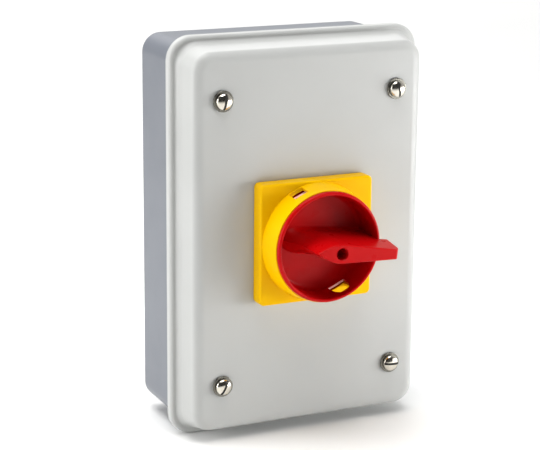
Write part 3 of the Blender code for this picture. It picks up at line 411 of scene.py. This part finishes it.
# The room is a pale grey all round, save for its unlit side, above and behind the camera. Polished
# metal mirrors that side as a dark patch: full within 50 degrees of DARK_SIDE, gone by 74.
ROOM_GLOW, DARK_GLOW = 0.52, 0.04
DARK_SIDE = (-0.34, -0.84, 0.42)
DARK_EDGE, DARK_CORE = math.cos(math.radians(74)), math.cos(math.radians(50))
world = bpy.data.worlds.new("studio")
world.use_nodes = True
sky = world.node_tree
toward = node(sky, "VectorMath", {1: DARK_SIDE}, {0: node(sky, "TexCoord").outputs["Generated"]},
              operation="DOT_PRODUCT")
lit = node(sky, "MapRange", {"From Min": DARK_EDGE, "From Max": DARK_CORE, "To Min": ROOM_GLOW,
                             "To Max": DARK_GLOW}, {"Value": toward.outputs["Value"]},
           interpolation_type="SMOOTHSTEP")
sky.links.new(lit.outputs["Result"], sky.nodes["Background"].inputs["Strength"])
sky.nodes["Background"].inputs["Color"].default_value = linear("ffffff")
bpy.context.scene.world = world
bpy.context.scene.view_settings.view_transform = "Standard"

# A matt white paper sheet: a faint fibre shows only close up.
PAPER = finish("matt_white_paper", "f6f6f5", "f3f3f2", drift=400 * MM, rough=0.85,
               patches=0.05, grain=1.2 * MM, relief=0.01 * MM)
FLOOR_REACH, FLOOR_LINES = 4, 9
marks = np.linspace(-FLOOR_REACH, FLOOR_REACH, FLOOR_LINES)
flat = np.stack(np.meshgrid(marks, marks), -1)
level = np.full((FLOOR_LINES, FLOOR_LINES, 1), cad_box[0].z)
first = (np.arange(FLOOR_LINES - 1)[:, None] * FLOOR_LINES + np.arange(FLOOR_LINES - 1)).ravel()
floor_mesh = bpy.data.meshes.new("floor")
floor_mesh.from_pydata(np.concatenate([flat, level], -1).reshape(-1, 3).tolist(), [],
                       np.stack([first, first + 1, first + FLOOR_LINES + 1, first + FLOOR_LINES],
                                -1).tolist())
floor_mesh.materials.append(PAPER)
floor = bpy.data.objects.new("floor", floor_mesh)
bpy.context.scene.collection.objects.link(floor)


# ---- cover ----
def screw_place(corner_name):
    """The x and z of a cover screw's axis."""
    low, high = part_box("screw_washer_" + corner_name)
    return (low.x + high.x) / 2, (low.z + high.z) / 2


def cover_rings(profile):
    """The cover's outline carried along a profile of (inset, height) points: the corner radius
    shrinks by 0.4 of the inset as far as the raised part's top, and by 0.9 of it after that."""
    inset, height = np.asarray(profile, float).T
    shallow = RIM_W + 1.5 * MM
    corner_r = 12 * MM - 0.4 * np.minimum(inset, shallow) - 0.9 * np.maximum(inset - shallow, 0)
    return rounded(COVER_W / 2 - inset, COVER_H / 2 - inset, np.maximum(corner_r, 1.5 * MM),
                   RIM_BACK + height)


def make_cover():
    """A shallow tray from one profile of (inset, height) points: eased rear lip, rounded rim edge,
    a narrow land, a concave sweep into the drafted wall, a quarter ellipse over to the face, then
    back down inside. Sleeves and screw holes follow."""
    foot = (RIM_W - 1.9 * MM, RIM_H)
    wall_foot = (RIM_W + 0.1 * MM, RIM_H + 5.0 * MM)
    wall_top = (RIM_W + 1.5 * MM, RIM_H + RAISE_H - 4.1 * MM)
    face = (RIM_W + 6.8 * MM, RIM_H + RAISE_H)
    edge_start, edge = (0.0, RIM_H - 1.9 * MM), (2.0 * MM, RIM_H)
    outer = [np.array([[0.4 * MM, 0.0], [0.1 * MM, 0.12 * MM], [0.0, 0.4 * MM], edge_start]),
             bend(edge_start, edge, 9, True), np.array([foot]),
             bend(foot, wall_foot, 11, False), np.array([wall_top]),
             bend(wall_top, face, 14, True)]
    under = RIM_W + 1.1 * COVER_T
    shoulder = (wall_top[0] + COVER_T, wall_top[1])
    inner = [np.array([[COVER_T, 0.0], [COVER_T, RIM_H - COVER_T], [under, RIM_H - COVER_T],
                       [under, wall_foot[1]], shoulder]),
             bend(shoulder, (face[0] + 1.2 * MM, face[1] - COVER_T), 6, True)]
    profile = np.concatenate([np.concatenate(inner)[::-1], *outer])
    cover = solid("cover_moulding", skin(cover_rings(profile)))
    underside = COVER_FACE - COVER_T
    past_face = COVER_FACE + 2 * MM
    hub_way_r = 8.2 * MM
    places = [screw_place(name) for name in SCREWS]
    join(cover, *(drill(POST_R, POST_TOP + 0.4 * MM, underside + 1 * MM, at) for at in places))
    cut(cover, *(drill(SCREW_HOLE_R, POST_TOP - 2 * MM, past_face, at) for at in places))
    cut(cover, drill(hub_way_r, underside - 2 * MM, past_face, count=48))
    put(cover, "cover", LIGHT_GREY, "light_grey_moulding", "cover")


# ---- box ----
def make_box():
    """A deep tray: a rounded back edge, sides with a slight roll at the front, four posts, a pad
    for the earth bar, wall-fixing holes and two cable entries in its lower end."""
    corner_r, wall, floor_t, roll = 9.5 * MM, 2.5 * MM, 3.0 * MM, 1.2 * MM
    turn = quarter(7)
    inset = np.concatenate([roll * (1 - np.sin(turn)), [0.0, 0.3 * MM, wall - 0.2 * MM, wall, wall,
                                                        wall + 0.25 * MM, wall + 0.8 * MM]])
    depth = np.concatenate([roll * (1 - np.cos(turn)),
                            [BOX_DEPTH - 0.3 * MM, BOX_DEPTH, BOX_DEPTH, BOX_DEPTH - 0.2 * MM,
                             floor_t + 0.8 * MM, floor_t + 0.25 * MM, floor_t]])
    box = solid("box_moulding", skin(rounded(BOX_W / 2 - inset, BOX_H / 2 - inset,
                                             corner_r - inset, depth)))
    places = [screw_place(name) for name in SCREWS]
    join(box, *(drill(POST_R, floor_t / 2, POST_TOP, at) for at in places))
    low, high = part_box("earth_bar")
    pad_w, pad_h, pad_top = 34 * MM, 12 * MM, 6.0 * MM
    join(box, block(oblong(pad_w, pad_h, (0, (low.z + high.z) / 2)), floor_t / 2, pad_top))
    pilot_depth = 11 * MM
    cut(box, *(drill(SCREW_HOLE_R, POST_TOP - pilot_depth, POST_TOP + 2 * MM, at) for at in places))
    wall_hole_r = 2.75 * MM
    for sx, sz in ((-1, -1), (-1, 1), (1, -1), (1, 1)):
        at = (sx * (BOX_W / 2 - 22 * MM), sz * (BOX_H / 2 - 15 * MM))
        cut(box, drill(wall_hole_r, -2 * MM, floor_t + 2 * MM, at))
    entry_r = 10.25 * MM
    for name in ("entry_plug_left", "entry_plug_right"):
        low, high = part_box(name)
        upright = circles([entry_r, entry_r], [-4 * MM, 4 * MM], 48)[..., [0, 2, 1]]
        cut(box, skin(upright + [(low.x + high.x) / 2, (low.y + high.y) / 2, -(BOX_H - wall) / 2]))
    put(box, "enclosure", BOX_GREY, "grey_moulding", "base_box")


# ---- front plate ----
def make_plate():
    """A square plate with an eased edge, and on it a collar: a cone turned about the handle's axis
    with a rounded lip. Its bore, two padlock slots and the shaft's way through are cut out."""
    edge, corner_r = 1.1 * MM, 2.5 * MM
    turn = quarter(7)[1:]
    inset = np.concatenate([[0.2 * MM, 0.0, 0.0], edge * (1 - np.cos(turn))])
    depth = np.concatenate([[PLATE_BACK, PLATE_BACK + 0.2 * MM, PLATE_FACE - edge],
                            PLATE_FACE - edge + edge * np.sin(turn)])
    plate = solid("plate_moulding", skin(rounded(PLATE_W / 2 - inset, PLATE_H / 2 - inset,
                                                 np.maximum(corner_r - inset, 0.8 * MM), depth, 8)))
    lip = 0.35 * MM
    turn = quarter(5)
    cone = np.concatenate([[COLLAR_BASE_R + 0.5 * MM, COLLAR_BASE_R + 0.12 * MM, COLLAR_BASE_R],
                           COLLAR_TIP_R - lip * (1 - np.cos(turn))])
    rise = np.concatenate([[PLATE_FACE - 2 * MM, PLATE_FACE, PLATE_FACE + 0.5 * MM],
                           COLLAR_FRONT - lip + lip * np.sin(turn)])
    join(plate, skin(circles(cone, rise, 160)))
    foot_bore = COLLAR_BASE_R - 1.8 * MM
    cut(plate, skin(circles([foot_bore, foot_bore, COLLAR_BORE_R, COLLAR_BORE_R + 2 * MM],
                            [PLATE_FLOOR, PLATE_FACE, COLLAR_FRONT - 0.25 * MM,
                             COLLAR_FRONT + 2 * MM], 160)))
    hub_way_r, seal_r, seal_top = 7.6 * MM, 10.2 * MM, PLATE_BACK + 2.4 * MM
    cut(plate, drill(hub_way_r, PLATE_BACK - 2 * MM, PLATE_FACE, count=48),
        drill(seal_r, PLATE_BACK - 2 * MM, seal_top, count=48))
    wall_r = (COLLAR_BORE_R + COLLAR_BASE_R) / 2
    for angle in (LOCK_ANGLE, LOCK_ANGLE + 180):
        mouth = turned(oblong(8 * MM, LOCK_SLOT_W, (wall_r, 0)), math.radians(angle))
        cut(plate, block(mouth, LOCK_SLOT_BACK, LOCK_SLOT_FRONT))
    put(plate, "cover", YELLOW, "yellow_moulding", "front_plate")


# ---- handle ----
def bar_grid():
    """The grip bar as rings of a leaf outline, from its front face down to the cup's floor.

    Across the bar, the half width is half * (1 - (u / tip) ** p) on the pointed side of the axis,
    and runs straight from half to end_half on the blunt side. Down the bar, half and end_half grow
    with a power of the level, and flare in a quarter ellipse over the last 4 mm; the tip stays
    upright, then sweeps back and rounds off as p rises."""
    foot = CUP_FLOOR - 0.8 * MM
    height = BAR_FRONT - foot
    rim_level = (BAR_FRONT - CUP_RIM_FRONT + 0.4 * MM) / height
    eased = [0.0, 0.004, 0.010, 0.018]
    levels = np.concatenate([eased, np.linspace(0.03, rim_level, 10),
                             np.linspace(rim_level, 1.0, 22)])
    at_rim = len(eased) + 10
    inset = np.zeros_like(levels)
    inset[:3] = [0.5 * MM, 0.22 * MM, 0.06 * MM]
    inside = np.arange(len(levels)) >= at_rim
    overhang_r = 31.1 * MM
    reach = np.where(inside, CUP_BORE_R + 0.5 * MM,
                     overhang_r - 1.7 * MM * np.clip(1 - levels / 0.075, 0, 1) ** 1.3)
    low = np.clip((levels - 0.53) / 0.47, 0, 1)
    tip = -12.8 * MM - 8.7 * MM * low ** 1.7
    flare = 1 - np.sqrt(1 - np.clip((levels - 0.86) / 0.14, 0, 1) ** 2)
    half = 4.7 * MM + 1.2 * MM * levels ** 1.4 + 2.2 * MM * flare
    end_half = 2.35 * MM + 3.9 * MM * levels ** 0.9 + 1.8 * MM * flare
    power = 1.8 + 0.6 * levels + 2.6 * low ** 2
    along = np.linspace(0, 1, 24)
    reach, tip, half, end_half, power, inset = (
        v[:, None] for v in (reach - inset, tip + 1.8 * inset, half - inset, end_half - inset,
                             power, inset))
    u_left = tip * (1 - along ** 1.2)
    w_left = half * (1 - np.abs(u_left / tip) ** power)
    right = np.linspace(0, 1, 12)[1:]
    end_r = 0.5 * MM
    u_right = (reach - end_r) * right
    w_right = half + (end_half - half) * right
    turn = quarter(4)[1:]
    u_end = reach - end_r + end_r * np.sin(turn)
    w_end = end_half - end_r * (1 - np.cos(turn))
    u = np.concatenate([u_left, u_right, u_end], 1)
    w = np.concatenate([w_left, w_right, w_end], 1)
    u, w = np.concatenate([u, u[:, :0:-1]], 1), np.concatenate([w, -w[:, :0:-1]], 1)
    c, s = math.cos(DROOP), math.sin(DROOP)
    depth = BAR_FRONT - levels[:, None] * height + 0 * u
    return np.stack([u * c - w * s, -depth, u * s + w * c], -1)


def window_cutter(angle):
    """A padlock window's cutter: a D with its straight side to the rear and a half ellipse to the
    front, carried outwards through the cup's wall and turned about the axis to its angle."""
    half, side, rise = 4.7 * MM, 3.0 * MM, 8.4 * MM
    arch = np.linspace(0, PI, 25)
    across = np.concatenate([[half], half * np.cos(arch), [-half]])
    up = np.concatenate([[0.0], side + rise * np.sin(arch), [0.0]])
    out = np.array([CUP_MIDDLE_R - 2.4 * MM, CUP_MIDDLE_R + 2.6 * MM])[:, None] + 0 * up
    c, s = math.cos(angle), math.sin(angle)
    across, up = across + 0 * out, up + 0 * out
    return skin(np.stack([out * c - across * s, -(WINDOW_BACK + up), out * s + across * c], -1))


def make_sill(name, angle):
    """A thin pale strip on a window's straight edge: a painted highlight where that edge catches
    the light.
    """
    outline = turned(oblong(0.86 * MM, 9.1 * MM, (CUP_MIDDLE_R, 0)), math.radians(angle))
    sill = solid(name, block(outline, WINDOW_BACK - 0.05 * MM, WINDOW_BACK + 0.12 * MM))
    put(sill, "handle", PAINTED_HIGHLIGHT_RED, "red_moulding")


def make_handle():
    """A dished cup turned about the axis from its hub round to its floor, joined to the grip bar,
    with two windows, a screw hole with a chamfered mouth, and a square socket for the shaft."""
    hub_r, floor_start_r, fillet, back_edge = 7 * MM, 3 * MM, 2.6 * MM, 1.2 * MM
    lip, lip_h, flare, flare_h = 1.0 * MM, 1.4 * MM, 0.7 * MM, 1.6 * MM
    floor_r = CUP_BORE_R - CUP_DRAFT - fillet
    turn, eased = quarter(11), quarter(7)
    back_r = CUP_WALL_R - CUP_DRAFT
    radius = np.concatenate([[hub_r, hub_r, back_r - back_edge, back_r, CUP_WALL_R, CUP_RIM_R],
                             CUP_RIM_R - lip * (1 - np.cos(eased)),
                             CUP_BORE_R + flare * (1 - np.sin(eased)),
                             (floor_r + fillet * np.sin(turn))[::-1], [floor_start_r]])
    depth = np.concatenate([[HUB_BACK, CUP_BACK, CUP_BACK, CUP_BACK + back_edge, CUP_RIM_BACK,
                             CUP_RIM_BACK],
                            CUP_RIM_FRONT - lip_h + lip_h * np.sin(eased),
                            CUP_RIM_FRONT - flare_h + flare_h * np.cos(eased),
                            (CUP_FLOOR + fillet * (1 - np.cos(turn)))[::-1], [CUP_FLOOR]])
    handle = solid("handle_moulding", skin(circles(radius, depth, 160)))
    join(handle, skin(bar_grid()))
    cut(handle, *(window_cutter(math.radians(a)) for a in (WINDOW_ANGLE, WINDOW_ANGLE + 180)))
    seat = CUP_FLOOR + 2.0 * MM
    hole_r, chamfer, socket_w, shank_r = 2.9 * MM, 0.3 * MM, 6.7 * MM, 1.85 * MM
    cut(handle, skin(circles([hole_r, hole_r, hole_r + chamfer, hole_r + chamfer + 2 * MM],
                             [seat, BAR_FRONT - chamfer, BAR_FRONT, BAR_FRONT + 2 * MM], 48)))
    cut(handle, block(oblong(socket_w, socket_w), HUB_BACK - 2 * MM, CUP_BACK + 0.4 * MM))
    cut(handle, drill(shank_r, CUP_BACK - 1 * MM, seat + 1 * MM))
    put(handle, "handle", RED, "red_moulding", "handle", crease=28)


# ---- cover fixings ----
def make_washer(corner_name):
    """A plain washer: a ring of (radius, depth) points whose outer corners are rolled over."""
    _, _, back, front = span("screw_washer_" + corner_name)
    turn = quarter(5)
    roll, outer = 0.3 * MM, 5.2 * MM
    radius = np.concatenate([outer - roll * (1 - np.sin(turn)), outer - roll * (1 - np.cos(turn)),
                             [SCREW_HOLE_R + 0.4 * MM, SCREW_HOLE_R, SCREW_HOLE_R]])
    depth = np.concatenate([back + roll * (1 - np.cos(turn)), front - roll * (1 - np.sin(turn)),
                            [front, front - 0.25 * MM, back]])
    washer = solid("lid_washer_" + corner_name,
                   skin(circles(radius, depth, 72, screw_place(corner_name)), ring=True))
    put(washer, "cover", WASHER_NICKEL, "nickel_plated_steel", "screw_washer_" + corner_name)


def make_screw(corner_name, slot_turn):
    """A slotted round head, turned from (radius, depth) points: a shank, a short upright edge and a
    half ellipse over the top. A dark fill in its slot, painted shade together with packed grease,
    is the same dome, a little lower, kept only between the slot's walls."""
    centre = screw_place(corner_name)
    seat = span("screw_washer_" + corner_name)[3] + 0.3 * MM
    _, _, shank_end, top = span("cover_screw_" + corner_name)
    head_r, shank_r, edge = 4.1 * MM, 2.0 * MM, 0.15 * MM
    wall = seat + 0.55 * MM
    dome = quarter(16)[:-1]
    radius = np.concatenate([[shank_r - 0.5 * MM, shank_r, shank_r, head_r - edge, head_r],
                             head_r * np.cos(dome)])
    depth = np.concatenate([[shank_end, shank_end + 0.7 * MM, seat, seat, seat + edge],
                            wall + (top - wall) * np.sin(dome)])
    screw = solid("lid_screw_" + corner_name, skin(circles(radius, depth, 72, centre)))
    angle, slot_l, slot_w, slot_floor = math.radians(slot_turn), 10 * MM, 1.15 * MM, top - 1.5 * MM
    cut(screw, block(turned(oblong(slot_l, slot_w), angle, centre), slot_floor, top + 1 * MM))
    put(screw, "cover", NICKEL, "nickel_plated_steel", "cover_screw_" + corner_name)

    # The slot's dark fill: painted shade for its hollow, and packed grease.
    sunk, clear, side_gap = 0.2 * MM, 0.03 * MM, 0.04 * MM
    radius = np.concatenate([[head_r - sunk], (head_r - sunk) * np.cos(dome)])
    depth = np.concatenate([[slot_floor + 0.02 * MM], np.maximum(
        wall - sunk + (top - wall) * np.sin(dome), slot_floor + clear)])
    grease_and_shade_fill = solid("slot_grease_and_shade_" + corner_name, skin(circles(radius, depth, 72, centre)))
    strip = turned(oblong(slot_l, slot_w - side_gap), angle, centre)
    carve(grease_and_shade_fill, "INTERSECT", block(strip, slot_floor - 1 * MM, top + 1 * MM))
    put(grease_and_shade_fill, "cover", SLOT_GREASE_AND_PAINTED_SHADE, "nickel_plated_steel")


# ---- latch springs ----
def make_spring(label):
    """Round wire in even turns: ring i stands on a helix about Z, its points on a circle of the
    wire's radius in the plane of the helix's own outward direction and Z."""
    low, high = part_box("latch_spring_" + label)
    wire_r, turns, travel = 0.35 * MM, 4, 1.4 * MM
    turn = np.linspace(0, 2 * PI * turns, 28 * turns + 1)[:, None]
    around = np.linspace(0, 2 * PI, 12, endpoint=False)
    middle = (low + high) / 2
    radius = (high.x - low.x) / 2 - wire_r + wire_r * np.cos(around)
    rise = np.linspace(low.z + wire_r, high.z - wire_r, len(turn))[:, None]
    wire = np.stack([middle.x + radius * np.cos(turn), middle.y + radius * np.sin(turn),
                     rise + wire_r * np.sin(around)], -1)
    spring = solid("latch_coil_" + label, skin(wire))
    put(spring, "enclosure", SPRING, "spring_steel", "latch_spring_" + label)
    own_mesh(spring)


make_cover()
make_box()
make_spring("upper")
make_spring("lower")
make_plate()
make_handle()
make_sill("window_sill_upper", WINDOW_ANGLE)
make_sill("window_sill_lower", WINDOW_ANGLE + 180)
for corner_name, slot_turn in SCREWS.items():
    make_washer(corner_name)
    make_screw(corner_name, slot_turn)
